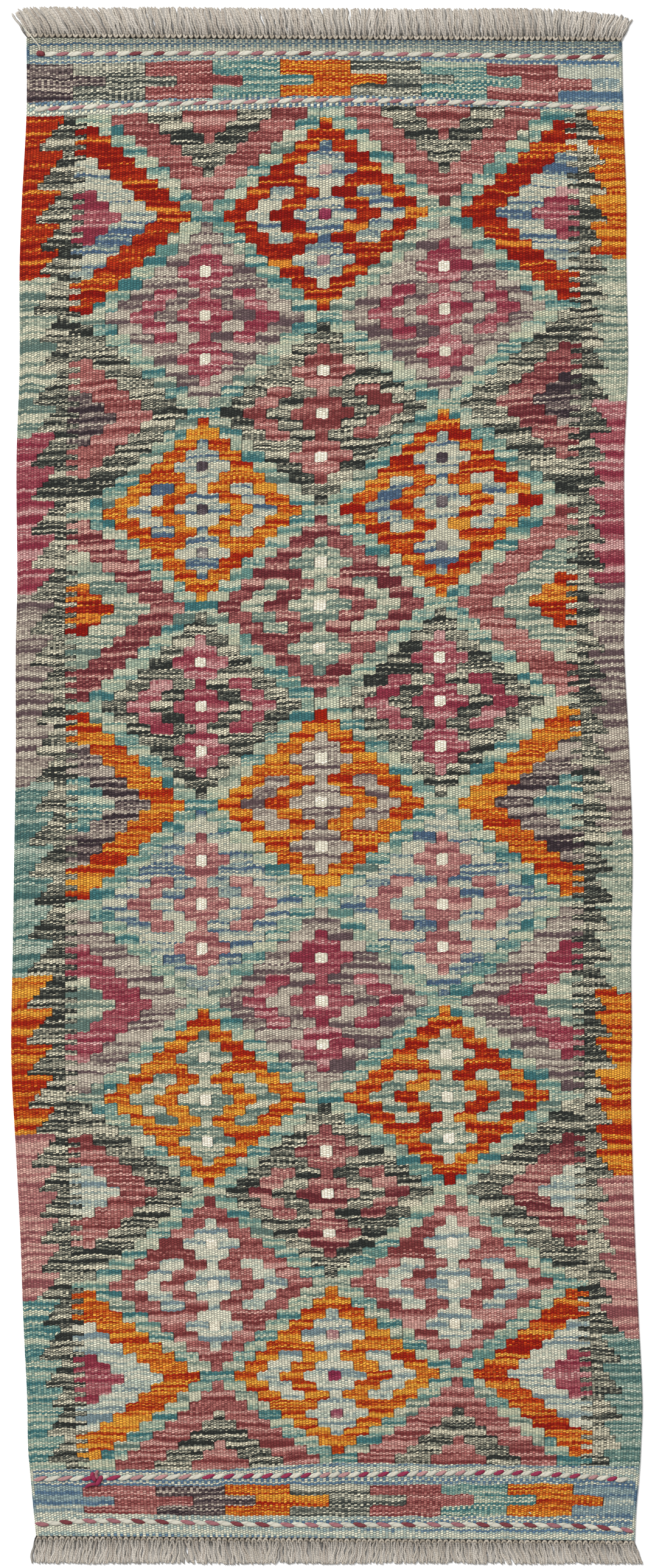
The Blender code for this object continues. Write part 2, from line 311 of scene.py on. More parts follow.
# Each knot holds two warps, and hangs on as a lock of three plied strands over more in their shade, whose
# darker tones are painted shade. A layer's strands start close together, at their root's share of the lock's
# width, and spread to the tip's.
Layer = namedtuple("Layer", "strands radius height root tip stray turns rings sides root_shade tones")
LOWER_LAYER = Layer(4, 0.0015, 0.0018, 0.56, 1.8, 0.0026, 0, 10, 6, 0.68, ((61, 59, 56), (66, 64, 61)))
UPPER_LAYER = Layer(3, 0.00132, 0.0027, 0.42, 1.05, 0.0032, 5.6, 33, 6, 0.27, (
    (73, 70, 65.5), (70, 66.5, 61.5), (67, 63, 58.5), (75, 72, 68),
))
LOCK_WIDTH = 0.0078
LOCK_GAP = 0.0004
LOCK_LEAN = 0.0008
LOCK_SWAY = 0.0016
CLUMP_LOCKS = (2, 5)
CLUMP_LEAN = 0.0030
LEAN_CURVE = 1.4
STRAND_REACHES = (-0.0026, 0.0008)
STRAND_SWAY = 0.6
STRAND_STRAY = 0.0004
STRAND_LIFT = 0.0003
STRAND_WAVE = 0.0008
WAVE_PACES = (7, 15)
STRAND_SWELL = 0.06
SWELL_PACE = 2.3
STRAND_RISE = 0.16
RISE_DEPTH = 0.0014
TIP_HEIGHT = 0.75
TIP_RADIUS = 0.5
TURNS = (0.9, 1.1)
PLY_CREASE = 0.93

# In millimetres: a place across the rug, how far a lock's tip leans to the right of its root there, and how
# far it reaches past the weave.
UPPER_LEANS = (
    (-392, -19, 33), (-365, -20, 40), (-268, -16, 40),
    (-213, -7, 41), (-150, -5, 41), (-105, -13, 41),
    (-70, -9, 41), (18, -6, 41), (82, -2, 41),
    (210, -7, 42), (290, 1, 42), (337, 6, 38),
    (369, 11, 34), (386, 16, 28),
)
LOWER_LEANS = (
    (-380, -3, 36), (-348, -6, 36), (-284, -5, 36),
    (-220, 2, 35), (-165, 4, 35), (-105, 9, 35),
    (-69, 0, 34), (-20, 2, 34), (66, -4, 33),
    (130, 2, 32), (209, 5, 32), (257, 10, 32),
    (329, 11, 31), (403, 12, 31),
)

# The twined lines: where each pitch starts and its length, in millimetres, the yarns that take turns with
# the cream one, and the route from left to right, in millimetres.
TwinedLine = namedtuple("TwinedLine", "name starts_cream pitches slant dyed_width yarns route")
CREAM_YARN = (74.5, 73, 67.5)
MAROON_YARN = (44, 21, 23)
ROSE_YARN = (58, 38, 40)
MAGENTA_YARN = (53, 17, 28)
PINK_YARN = (66, 49, 49)
TWINED_LINES = (
    TwinedLine("twined_line_1", True, ((-380, 15.9),), 0.0012, 0.0052, (MAROON_YARN, ROSE_YARN), (
        (-371, 956), (-222, 957), (-3, 957), (232, 954), (325, 952),
        (382, 953),
    )),
    TwinedLine("twined_line_2", True, ((-381, 15.9),), 0.0015, 0.0050, (ROSE_YARN, PINK_YARN), (
        (-381, 884), (-236, 890), (-91, 894), (0, 896), (169, 893),
        (279, 890), (370, 884),
    )),
    TwinedLine("twined_line_3", False, ((-382, 15.9), (-150, 12.5)), 0.0022, 0.0058, (
        MAGENTA_YARN, MAGENTA_YARN, PINK_YARN,
    ), (
        (-382, -907), (-154, -904), (72, -901), (241, -899), (337, -904),
        (396, -909),
    )),
    TwinedLine("twined_line_4", False, ((-380, 15.9),), -0.0018, 0.0060, (MAROON_YARN, ROSE_YARN), (
        (-380, -967), (-310, -962), (-179, -964), (-68, -967), (185, -967),
        (337, -969), (402, -975),
    )),
)
STITCH_FLOOR = 0.0031
STITCH_HEIGHT = 0.0026
STITCH_WIDTH = 0.0066
STITCH_OVERLAP = 1.26
STITCH_PITCHES = (0.92, 1.08)
CREAM_PITCH = 1.06
DYED_PITCH = 0.94
LEAST_PITCH = 0.004
LAST_REACH = 0.001
STITCH_ENDS = (0.02, 0.98)
STITCH_BULGE = 0.66
STITCH_SECTIONS = 12
STITCH_SIDES = 10

# Yarn ends and lint that lie on the rug, with the piece that they belong to: their radius and colour, and the
# pixels that they pass, from their start.
LOOSE_THREADS = {
    "twined_line_1": (
        (0.0010, CREAM_YARN, ((67, 88), (64, 76), (57, 66), (49, 57), (41, 48), (35, 40))),
        (0.0036, MAROON_YARN, ((60, 90), (66, 88), (74, 90))),
    ),
    "twined_line_2": ((0.0007, CREAM_YARN, ((983, 241), (981, 250), (980, 259))),),
    "twined_line_3": (
        (0.0034, MAGENTA_YARN, ((152, 2418), (153, 2426), (158, 2434))),
        (0.0034, MAGENTA_YARN, ((168, 2424), (164, 2431), (158, 2441))),
        (0.0026, ROSE_YARN, ((161, 2415), (158, 2423), (161, 2430))),
        (0.0022, MAGENTA_YARN, ((139, 2444), (149, 2439), (162, 2437))),
    ),
    "twined_line_4": (
        (0.0009, CREAM_YARN, ((869, 2484), (873, 2487))),
        (0.0009, CREAM_YARN, ((980, 2488), (984, 2490))),
    ),
    "upper_warp_ends": ((0.0006, (84, 83, 80), ((574, 22), (573, 31), (576, 40), (577, 47))),),
}
THREAD_HEIGHT = 0.0034
THREAD_LIFT = 0.3
THREAD_TAPER = 0.75
THREAD_SECTIONS = 12
THREAD_SIDES = 8


def mix(start, end, share):
    return start + (end - start) * share


def curve_weights(knots, places):
    """How much each knot's value counts at each place, on a smooth curve through the knots."""
    weights = np.zeros((len(places), len(knots)))
    last = len(knots) - 1
    for row, place in zip(weights, places):
        place = min(max(place, knots[0]), knots[-1])
        start = min(bisect_right(knots, place) - 1, last - 1)
        span = knots[start + 1] - knots[start]
        t = (place - knots[start]) / span
        row[start] += 2 * t**3 - 3 * t**2 + 1
        row[start + 1] += 3 * t**2 - 2 * t**3
        for knot, share in ((start, t**3 - 2 * t**2 + t), (start + 1, t**3 - t**2)):
            before, after = max(knot - 1, 0), min(knot + 1, last)
            slope = share * span / (knots[after] - knots[before])
            row[after] += slope
            row[before] -= slope
    return weights


def curve_at(table, places):
    """A table's values at each place, on smooth curves. Its first column says where its rows lie. It is in
    millimetres, and the places and the values are in metres."""
    table = np.array(table) * MM
    return curve_weights(list(table[:, 0]), places) @ table


def to_metres(x_px, y_px):
    return (x_px - MIDDLE_PX[0]) * PIXEL, (MIDDLE_PX[1] - y_px) * PIXEL


def to_linear(colour):
    """A colour in hundredths as linear light, with an alpha of 1."""
    shares = [part / 100 for part in colour]
    return [*(c / 12.92 if c <= 0.04045 else ((c + 0.055) / 1.055) ** 2.4 for c in shares), 1.0]


def hash_of(*key):
    return random.Random(repr(key)).randrange(HASHES)


def place_in_scene(name, data, location=(0, 0, 0)):
    thing = bpy.data.objects.new(name, data)
    thing.location = location
    bpy.context.scene.collection.objects.link(thing)
    return thing


# --- The grid of the weave ---


def weave_lines():
    """Every weft line of the mesh, from the top: its block row, its grain, and the pixels that it lies at
    on each station. Lines between block rows are for the finer parts."""
    rows = np.arange(BLOCK_ROWS + 1) - 0.5
    inner = curve_weights(STATION_ROWS, rows) @ np.array(WEFTS_PX)
    inner[0] = inner[1] - (inner[2] - inner[1])
    inner[-1] = inner[-2] + (inner[-2] - inner[-3])
    left = inner[:, 0] + OUTER_SLOPE * (inner[:, 0] - inner[:, 1])
    right = inner[:, -1] + OUTER_SLOPE * (inner[:, -1] - inner[:, -2])
    grains = FIELD_GRAIN + (rows + 0.5) * GRAINS_PER_ROW
    field = np.column_stack((rows, grains, left, inner, right))
    parts = [mix(field[:-1], field[1:], part / PARTS_PER_ROW) for part in range(PARTS_PER_ROW)]
    bands = [
        [(first_row + number, first_grain + grain, *wefts) for number, (grain, wefts) in enumerate(lines)]
        for first_row, first_grain, lines in (
            (-0.5 - len(UPPER_GRAINS), 0, zip(UPPER_GRAINS, UPPER_LINES_PX)),
            (BLOCK_ROWS + 0.5, grains[-1], zip(LOWER_GRAINS, LOWER_LINES_PX)),
        )
    ]
    return np.vstack((bands[0], np.stack(parts, 1).reshape(-1, field.shape[1]), field[-1:], bands[1]))


class Weave:
    """The places of the mesh's lines and columns. Whole lines run right across it."""

    def __init__(self):
        lines = weave_lines()
        self.rows, self.grains = lines[:, 0], lines[:, 1]
        self.columns = [half / 2 for half in range(2 * RIBS + 1)]
        self.whole = [number for number, row in enumerate(self.rows) if (row + 0.5) % 1 == 0]
        across = curve_weights(STATION_RIBS, self.columns)
        self.y = (MIDDLE_PX[1] - lines[:, 2:] @ across.T) * PIXEL
        left = curve_at(EDGES, self.y[:, 0])[:, 1]
        right = curve_at(EDGES, self.y[:, -1])[:, 2]
        self.edges = np.stack((left, right), 1)
        inner = left + self.warp_shares().T * (right - left)
        warps = np.stack((left + SELVEDGE_PX * PIXEL, *inner, right - SELVEDGE_PX * PIXEL), 1)
        blocks = np.array(self.columns) / RIBS_PER_BLOCK - MIDDLE_BLOCK - 0.5
        swing = np.where(abs(blocks) < FIELD_BLOCK, np.sin(math.pi * blocks / MEDALLION_SPACING), 0)
        self.x = warps @ across.T + SETT_SWING_PX * PIXEL * swing
        self.wobble()

    def warp_shares(self):
        """How far across the rug each followed warp lies on each line, from 0 at its left edge to 1."""
        places = [to_metres(0, np.mean(wefts))[1] for wefts in WEFTS_PX]
        left, right = curve_at(EDGES, places).T[1:, :, None]
        shares = ((np.array(WARPS_PX) - MIDDLE_PX[0]) * PIXEL - left) / (right - left)
        return curve_weights(STATION_ROWS, self.rows) @ shares

    def wobble(self):
        """Beats the weft lines a little unevenly. The lines inside a block row follow its own two."""
        chance = np.random.default_rng(BEAT_SEED)
        places = list(range(0, RIBS + 1, RIBS_PER_BLOCK))
        beats = chance.normal(0, BEAT_SWING, (len(self.whole), len(places)))
        beats = beats @ curve_weights(places, self.columns).T
        beats[0] = beats[-1] = 0
        rows = np.arange(len(self.rows))
        for column in range(len(self.columns)):
            self.y[:, column] += np.interp(rows, self.whole, beats[:, column])


# --- The pattern ---

Area = namedtuple("Area", "wool seed")


def chart_middle(c, r, medallions, wool):
    """The wool of one block of a whole medallion, c blocks to the side of its middle and r rows below."""
    c, distance = abs(c), abs(r)
    if c == 0 and distance in (0, DOT_ROW):
        return medallions.dots[(r > 0) - (r < 0) + 1], "dot"
    cross_row = min(distance, abs(distance - DOT_ROW))
    if distance <= DOT_ROW + CROSS_REACH and c <= CROSS_REACH - cross_row:
        return medallions.inside, "inside"
    if distance <= CROSS_REACH and c >= HOOK_START and c + distance in HOOK_RINGS:
        return medallions.inside, "hook"
    return wool, "main"


def field_area(block, row):
    """The area of the field that a block belongs to."""
    for number in range(len(WEFTS_PX)):
        r = row - MEDALLION_STEP * number
        for middle in MIDDLES[number % 2]:
            c = block - middle
            distance = abs(c) + abs(r)
            if distance > MEDALLION_REACH:
                continue
            if number in MEDALLIONS and abs(middle) < FIELD_BLOCK:
                medallions = MEDALLIONS[number]
                main = medallions.left if middle <= 0 else medallions.right
                wool, part = chart_middle(c, r, medallions, main)
                stretch = r // INSIDE_ROWS if part == "inside" else 0
                return Area(wool, hash_of(number, middle, part, stretch))
            rings = HALVES[number][middle > 0] if number in MEDALLIONS else CUT_MEDALLION
            wool = rings[2 - distance // RING_WIDTH]
            return Area(wool, hash_of(number, middle, tuple(part / 100 for part in wool.low)))
    lane = hash_of("lattice", row, block // LANE_BLOCKS)
    wool = (TEAL, CREAM_TEAL)[(row + (block < 0)) % 2] if lane % LANES_PER_MINT else MINT
    return Area(wool, lane)


def side_area(rib, y_px, block_row, part, on_left):
    """The area of a side border: the outer block, its teeth, the charcoal border or a finger."""
    side = LEFT_SIDE if on_left else RIGHT_SIDE
    inset = rib if on_left else RIBS - rib
    tooth = max(bisect_right(side.teeth_px, y_px) - 1, 0)
    start, end = side.teeth_px[tooth : tooth + 2]
    steps = min(max(round((end - start) / TOOTH_STEP_PX), 1), len(TOOTH_RIBS))
    step = int(steps * max(y_px - start, 0) / (end - start))
    if inset < TOOTH_RIBS[step]:
        number = sum(y_px > end_px for end_px, _ in side.blocks)
        wool = side.blocks[min(number, len(side.blocks) - 1)][1]
        return Area(wool, BLOCK_SEED + number + LEFT_SEED * on_left)
    if SIDE_RIBS - inset < RIBS_PER_BLOCK and 0 < part < PARTS_PER_ROW - 1:
        return field_area(-FIELD_BLOCK if on_left else FIELD_BLOCK, block_row)
    return Area(CHARCOAL, BORDER_SEED + 3 * (block_row // 2) + on_left)


def band_area(band, rib, row):
    """The area of an end band that a place belongs to: one of its rows of arrows, or a plain strip."""
    if row not in range(ARROW_ROWS):
        return Area(BLUE_STRIP, band.strip_seed)
    number = bisect_right(band.middle_ribs if row == 1 else band.outer_ribs, rib)
    return Area(band.wools[number], ARROW_SEED + number)


def area_at(weave, rib, number):
    """The area between a line and the next one, at a place across the rug counted in ribs."""
    row = weave.rows[number] + 0.5
    block_row = int(row)
    if row < 0:
        return band_area(UPPER_ARROWS, rib, number - 1)
    if row >= BLOCK_ROWS:
        return band_area(LOWER_ARROWS, rib, block_row - BLOCK_ROWS - 1)
    block = int(rib // RIBS_PER_BLOCK) - MIDDLE_BLOCK
    if abs(block) <= FIELD_BLOCK:
        return field_area(block, block_row)
    y_px = MIDDLE_PX[1] - weave.y[number : number + 2, round(rib * 2)].sum() / 2 / PIXEL
    return side_area(rib, y_px, block_row, int((row - block_row) * PARTS_PER_ROW), block < 0)


# --- The cloth's mesh ---

Face = namedtuple("Face", "corners area run side slits")
# The stretch of ribs that a yarn goes back and forth across.
Run = namedtuple("Run", "left width")
# A part of a column between two lines.
Span = namedtuple("Span", "start end area")

# Painted shade in the slits between areas of different wool: the faintest it gets, and the curve of its
# spread from row to row.
SLIT_LEAST = 0.20
SLIT_CURVE = 1.6
# What each side of the cloth takes up of the map for baking, across it, and what all take up along it.
BAKE_ACROSS = {"top": (0.005, 0.895), "back": (0.905, 0.975), "edge": (0.98, 0.995)}
BAKE_ALONG = (0.005, 0.995)


class MeshMaker:
    """Gathers points with their places in the weave, and faces."""

    def __init__(self):
        self.points, self.weave, self.faces = [], [], []

    def point(self, x, y, z, rib, grain):
        self.points.append((x, y, z))
        self.weave.append((rib, grain))
        return len(self.points) - 1

    def face(self, corners, area, run, side, slits=None):
        self.faces.append(Face(corners, area, run, side, slits or [0.0] * len(corners)))


def is_fine(column):
    """Whether the weft lines between block rows reach a column: only the side borders' teeth need them."""
    return TOOTH_RIBS[-1] <= min(column / 2, RIBS - column / 2) <= SIDE_RIBS


def side_run(column):
    return Run(0 if column < RIBS else RIBS - SIDE_RIBS, SIDE_RIBS)


def row_runs(areas, is_field):
    """The run that each column of a row belongs to. The side borders' yarns turn at even distances."""
    runs = []
    start = 0
    for column in range(1, len(areas) + 1):
        if column == len(areas) or areas[column] != areas[start]:
            runs.extend([Run(start / 2, (column - start) / 2)] * (column - start))
            start = column
    if is_field:
        runs[: 2 * SIDE_RIBS] = [side_run(0)] * 2 * SIDE_RIBS
        runs[-2 * SIDE_RIBS :] = [side_run(len(runs))] * 2 * SIDE_RIBS
    return runs


def row_spans(weave, start, end):
    """Each column's spans in the row between two lines, from top to bottom."""
    spans = []
    for column in range(2 * RIBS):
        lines = range(start, end + 1) if is_fine(column) and is_fine(column + 1) else (start, end)
        rib = (column + 0.5) / 2
        spans.append([Span(a, b, area_at(weave, rib, a)) for a, b in zip(lines, lines[1:])])
    return spans


def slit_darkness(area, other, row):
    """How dark the painted shade in the slit between two areas is: nothing in one colour, and uneven from row
    to row.
    """
    if area.wool is other.wool:
        return 0.0
    return mix(SLIT_LEAST, 1, (hash_of("slit", area.seed, other.seed, row // 2) / HASHES) ** SLIT_CURVE)


def slit_at(spans, column, span):
    """How dark the painted shade in the slit is between a span and the column beside it."""
    if not 0 <= column < len(spans):
        return 0.0
    beside = [other for other in spans[column] if other.start < span.end and other.end > span.start]
    return min(slit_darkness(span.area, other.area, span.start) for other in beside)


def make_grid(weave, maker):
    """The mesh's points: crests and dips of the ribs, with the crests of neighbours half a grain apart."""
    grid = [[None] * len(weave.columns) for _ in weave.rows]
    for number, grain in enumerate(weave.grains):
        is_whole = number in weave.whole
        is_inner = 0 < number < len(weave.rows) - 1
        for column, rib in enumerate(weave.columns):
            if not (is_whole or is_fine(column)):
                continue
            is_crest = column % 2 == 1
            step = (GRAIN_SHIFT if column % 4 == 3 else -GRAIN_SHIFT) if is_crest and is_inner else 0
            y = weave.y[number][column] + step * GRAIN_HEIGHT
            height = CLOTH_THICKNESS - (0 if is_crest else RIB_RELIEF)
            grid[number][column] = maker.point(weave.x[number][column], y, height, rib, grain - step)
    return grid


def make_cloth_mesh():
    weave = Weave()
    maker = MeshMaker()
    grid = make_grid(weave, maker)
    rows = [row_spans(weave, start, end) for start, end in zip(weave.whole, weave.whole[1:])]
    round_corners(maker, grid, weave.whole, rows)
    for start, spans in zip(weave.whole, rows):
        is_field = 0 <= weave.rows[start] + 0.5 < BLOCK_ROWS
        runs = row_runs([column[0].area for column in spans], is_field)
        for column in range(2 * RIBS):
            inner = 2 * SIDE_RIBS if column < RIBS else len(runs) - 1 - 2 * SIDE_RIBS
            for span in spans[column]:
                run = runs[column]
                if is_field and run == side_run(column) and span.area == spans[inner][0].area:
                    run = runs[inner]
                left, right = (
                    [row[edge] for row in grid[span.start : span.end + 1] if row[edge] is not None]
                    for edge in (column, column + 1)
                )
                # Painted shade of the slits on either side of the span, for its corners.
                slits = [slit_at(spans, column - 1, span)] * len(left)
                slits += [slit_at(spans, column + 1, span)] * len(right)
                maker.face((*left, *reversed(right)), span.area, run, "top", slits)
    add_selvedges_and_back(maker, weave, grid)
    return maker


def round_corners(maker, grid, whole, rows):
    """The wefts draw in at the corners of a step: each corner gives way towards the one area of four that
    sticks out there, and the crest beside it follows about half as far."""
    for line, above, below in zip(whole[1:-1], rows, rows[1:]):
        for column in range(2 * RIBS_PER_BLOCK, 2 * RIBS, 2 * TOOTH_STEP_RIBS):
            quarters = [
                (up, aside, row[column + min(aside, 0)][nearest].area.wool)
                for up, row, nearest in ((1, above, -1), (-1, below, 0))
                for aside in (-1, 1)
            ]
            wools = [wool for *_, wool in quarters]
            for up, aside, wool in quarters:
                if wools.count(wool) > 1 or len(set(wools)) > 2:
                    continue
                for beside, share in ((0, 1.0), (aside, CREST_ROUNDING)):
                    number = grid[line][column + beside]
                    x, y, z = maker.points[number]
                    maker.points[number] = (x, y + up * share * CORNER_ROUNDING, z)


def add_selvedges_and_back(maker, weave, grid):
    """The rolled selvedges, the back of the cloth and its cut ends. Each whole line goes on in a loop round
    the left selvedge, along the back and round the right one."""
    block_columns = range(0, 2 * RIBS + 1, 2 * RIBS_PER_BLOCK)
    loops = []
    for number in weave.whole:
        x, y, grain = weave.x[number], weave.y[number], weave.grains[number]
        left, right = (
            [
                maker.point(
                    mix(x[end], weave.edges[number][end], out), y[end], height,
                    weave.columns[end] + away * out * SELVEDGE_RIBS, grain,
                )
                for out, height in SELVEDGE
            ]
            for end, away in ((0, -1), (-1, 1))
        )
        under = [maker.point(x[column], y[column], 0, column / 2, grain) for column in block_columns]
        loops.append([grid[number][0], *left, *under, *reversed(right), grid[number][-1]])
    last = len(loops[0]) - 1
    for start, above, below in zip(weave.whole, loops, loops[1:]):
        for i in range(last):
            side, on_left = "edge", i <= SELVEDGE_TOPS
            rib, run = (EDGE_RIB, side_run(0)) if on_left else (RIBS - EDGE_RIB, side_run(2 * RIBS))
            if SELVEDGE_TOPS < i < last - SELVEDGE_TOPS - 1:
                rib = min(max((i - ROLL + 0.5) * RIBS_PER_BLOCK, 0.5), RIBS - 0.5)
                side, run = "back", Run(rib - RIBS_PER_BLOCK / 2, RIBS_PER_BLOCK)
            corners = (above[i], above[i + 1], below[i + 1], below[i])
            maker.face(corners, area_at(weave, rib, start), run, side)
    for line, row, loop, order in (
        (weave.whole[0], weave.whole[0], loops[0], -1), (weave.whole[-1], weave.whole[-2], loops[-1], 1),
    ):
        walls = [
            (*grid[line][column : column + 2 * RIBS_PER_BLOCK + 1], loop[ROLL + i + 1], loop[ROLL + i])
            for i, column in enumerate(block_columns[:-1])
        ]
        for corners in (*walls, loop[ROLL::-1], loop[: -ROLL - 2 : -1]):
            maker.face(corners[::order], area_at(weave, RIBS / 2, row), Run(0, RIBS), "edge")


def cloth_uvs(maker, mesh):
    """Two maps: where each corner lies in the weave, and one that lays the faces out for baking."""
    points = np.array(maker.points)
    low, high = points.min(0), points.max(0)
    unit = (points - low) / (high - low)
    weave, bake = [], []
    for face in maker.faces:
        for point in face.corners:
            x, y, z = unit[point]
            weave.append(maker.weave[point])
            across = mix(*BAKE_ACROSS[face.side], z if face.side == "edge" else x)
            bake.append((across, mix(*BAKE_ALONG, y)))
    mesh.uv_layers.new(name="weave").data.foreach_set("uv", np.ravel(weave))
    mesh.uv_layers.new(name="OFBake").data.foreach_set("uv", np.ravel(bake))


def add_values(mesh, name, kind, values, domain="FACE"):
    """Stores a number, vector or colour for each face or corner of a mesh."""
    field = {"FLOAT": "value", "FLOAT_VECTOR": "vector", "FLOAT_COLOR": "color"}[kind]
    mesh.attributes.new(name, kind, domain).data.foreach_set(field, np.ravel(values))


def add_piece(name, mesh, material, node):
    for polygon in mesh.polygons:
        polygon.use_smooth = True
    mesh.materials.append(material)
    piece = place_in_scene(name, mesh)
    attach(piece, "root")
    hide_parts(node)
    return piece


def make_cloth(material):
    maker = make_cloth_mesh()
    faces = maker.faces
    mesh = bpy.data.meshes.new("woven_sheet")
    mesh.from_pydata(maker.points, [], [face.corners for face in faces])
    cloth_uvs(maker, mesh)
    for number, tone in enumerate(("low_tone", "middle_tone", "high_tone")):
        colours = [to_linear(face.area.wool[number]) for face in faces]
        add_values(mesh, tone, "FLOAT_COLOR", colours)
    shares = [[share / 100 for share in face.area.wool[3:6]] for face in faces]
    dyes = [face.area.wool.dye * (SIDE_DYE if face.run.width == SIDE_RIBS else 1) for face in faces]
    add_values(mesh, "tone_shares", "FLOAT_VECTOR", shares)
    add_values(mesh, "yarn_run", "FLOAT_VECTOR", [(*face.run, face.area.seed) for face in faces])
    add_values(mesh, "dye_length", "FLOAT", dyes)
    # Painted shade in the slits, for each corner.
    add_values(mesh, "slit", "FLOAT", [slit for face in faces for slit in face.slits], "CORNER")
    mesh.validate()
    return add_piece("woven_sheet", mesh, material, "kilim_cloth")


# --- Tubes of yarn: the fringes, the stitches and their ends ---


class YarnMaker:
    """Gathers closed tubes. Each corner knows its place round and along its tube, and each tube its tone."""

    def __init__(self):
        self.points, self.faces, self.places, self.tones, self.seeds = [], [], [], [], []

    def tube(self, rings, tone, seed, root_shade=0.0):
        """Joins rings of points in order, and closes the first and the last. The tone is darker by
        root_shade at the first one."""
        base, sides, last = len(self.points), len(rings[0]), len(rings) - 1
        self.points += [point for ring in rings for point in ring]
        for number in range(last):
            light = 1 - root_shade * (1 - number / last) ** 3
            shaded = to_linear([part * light for part in tone])
            for side in range(sides):
                spots = ((number, side), (number, side + 1), (number + 1, side + 1), (number + 1, side))
                corners = [base + ring * sides + spot % sides for ring, spot in spots]
                self.add(corners, [(spot / sides, ring / last) for ring, spot in spots], shaded, seed)
        for ring, along, order in ((0, 0.0, -1), (last, 1.0, 1)):
            cap = [base + ring * sides + side for side in range(sides)][::order]
            self.add(cap, [(0.5, along)] * sides, to_linear(tone), seed)

    def add(self, corners, places, tone, seed):
        self.faces.append(corners)
        self.places += places
        self.tones.append(tone)
        self.seeds.append(seed)

    def make(self, name, material, node):
        mesh = bpy.data.meshes.new(name)
        mesh.from_pydata(self.points, [], self.faces)
        mesh.uv_layers.new(name="yarn").data.foreach_set("uv", np.ravel(self.places))
        add_values(mesh, "tone", "FLOAT_COLOR", self.tones)
        add_values(mesh, "seed", "FLOAT", self.seeds)
        return add_piece(name, mesh, material, node)


def tube_rings(path, radii, sides, turns=0.0):
    """Rings along a path, square to it. With turns, two plies wind round each other, with a crease on
    either side between them."""
    rings = []
    for number, (middle, radius) in enumerate(zip(path, radii)):
        before, after = path[max(number - 1, 0)], path[min(number + 1, len(path) - 1)]
        direction = (after - before).normalized()
        across = direction.cross(Vector((0, 0, 1))).normalized()
        up = across.cross(direction)
        wound = 2 * math.pi * turns * number / (len(path) - 1)
        ring = []
        for side in range(sides):
            angle = wound + 2 * math.pi * side / sides
            out = radius * (PLY_CREASE if turns and side % (sides // 2) == 0 else 1)
            ring.append(tuple(middle + (across * math.cos(angle) + up * math.sin(angle)) * out))
        rings.append(ring)
    return rings


Lock = namedtuple("Lock", "root lean reach outward sway")


def add_strand(maker, lock, layer, place, chance):
    """One strand of a lock, which starts at a place from -1 to 1 across the lock's knot."""
    lean = lock.lean + chance.uniform(-layer.stray, layer.stray)
    sway = lock.sway + chance.uniform(-layer.stray, layer.stray) * STRAND_SWAY
    reach = lock.reach + chance.uniform(*STRAND_REACHES)
    phase, pace = chance.uniform(0, 2 * math.pi), chance.uniform(*WAVE_PACES)
    offset = place * LOCK_WIDTH / 2 + chance.uniform(-STRAND_STRAY, STRAND_STRAY)
    rise = layer.height + chance.uniform(-STRAND_LIFT, STRAND_LIFT)
    path, radii = [], []
    for number in range(layer.rings):
        t = number / (layer.rings - 1)
        spread = mix(layer.root, layer.tip, 1 - (1 - t) ** 3)
        x = lock.root.x + offset * spread + lean * t**LEAN_CURVE
        x += sway * math.sin(math.pi * t) + STRAND_WAVE * math.sin(pace * t + phase)
        y = lock.root.y + lock.outward * reach * t
        z = mix(rise, layer.height * TIP_HEIGHT, t) - RISE_DEPTH * max(1 - t / STRAND_RISE, 0)
        thickness = layer.radius * (1 + STRAND_SWELL * math.sin(SWELL_PACE * pace * t + 2 * phase))
        path.append(Vector((x, y, max(z, thickness))))
        radii.append(thickness)
    radii[-1] *= TIP_RADIUS
    rings = tube_rings(path, radii, layer.sides, layer.turns * chance.uniform(*TURNS))
    maker.tube(rings, chance.choice(layer.tones), chance.random(), layer.root_shade)


def add_knot(maker, lock, chance):
    """A knot: a plied loop that is pulled tight over its two warps, arched towards the weave and tipped."""
    tip = chance.uniform(*KNOT_TIP)
    width = chance.uniform(*KNOT_WIDTHS)
    reach = chance.uniform(*KNOT_REACHES)
    path, radii = [], []
    for number in range(KNOT_SECTIONS):
        t = number / (KNOT_SECTIONS - 1)
        arch = math.sin(math.pi * t)
        x = lock.root.x + (t - 0.5) * width
        y = lock.root.y + lock.outward * (mix(reach, KNOT_CREST, arch**KNOT_ARCH) + (0.5 - t) * tip)
        path.append(Vector((x, y, mix(KNOT_RADIUS, KNOT_HEIGHT, arch**0.5))))
        radii.append(KNOT_RADIUS * mix(*KNOT_SWELL, arch**0.5))
    maker.tube(tube_rings(path, radii, KNOT_SIDES, KNOT_TURNS), chance.choice(KNOT_TONES), chance.random())


def make_fringe(name, node, end, leans, material):
    """The warps past one end of the weave: a row of knots, and the lock that hangs from each."""
    chance = random.Random(name)
    maker = YarnMaker()
    left = curve_at(EDGES, [end.at_left])[0][1]
    right = curve_at(EDGES, [end.at_right])[0][2]
    clump, clump_lean = 0, 0.0
    for knot in range(KNOTS):
        share = (knot + 0.5) / KNOTS
        x, y = mix(left, right, share), mix(end.at_left, end.at_right, share)
        _, lean, reach = curve_at(leans, [x])[0]
        if knot == clump:
            clump += chance.randint(*CLUMP_LOCKS)
            clump_lean = chance.gauss(0, CLUMP_LEAN)
        lean += clump_lean + chance.gauss(0, LOCK_LEAN)
        sway = chance.uniform(-LOCK_SWAY, LOCK_SWAY)
        lock = Lock(Vector((x, y + LOCK_GAP * end.outward, 0)), lean, reach, end.outward, sway)
        add_knot(maker, lock, chance)
        for layer in (LOWER_LAYER, UPPER_LAYER):
            for strand in range(layer.strands):
                add_strand(maker, lock, layer, 2 * (strand + 0.5) / layer.strands - 1, chance)
    add_loose_threads(maker, name, chance)
    return maker.make(name, material, node)


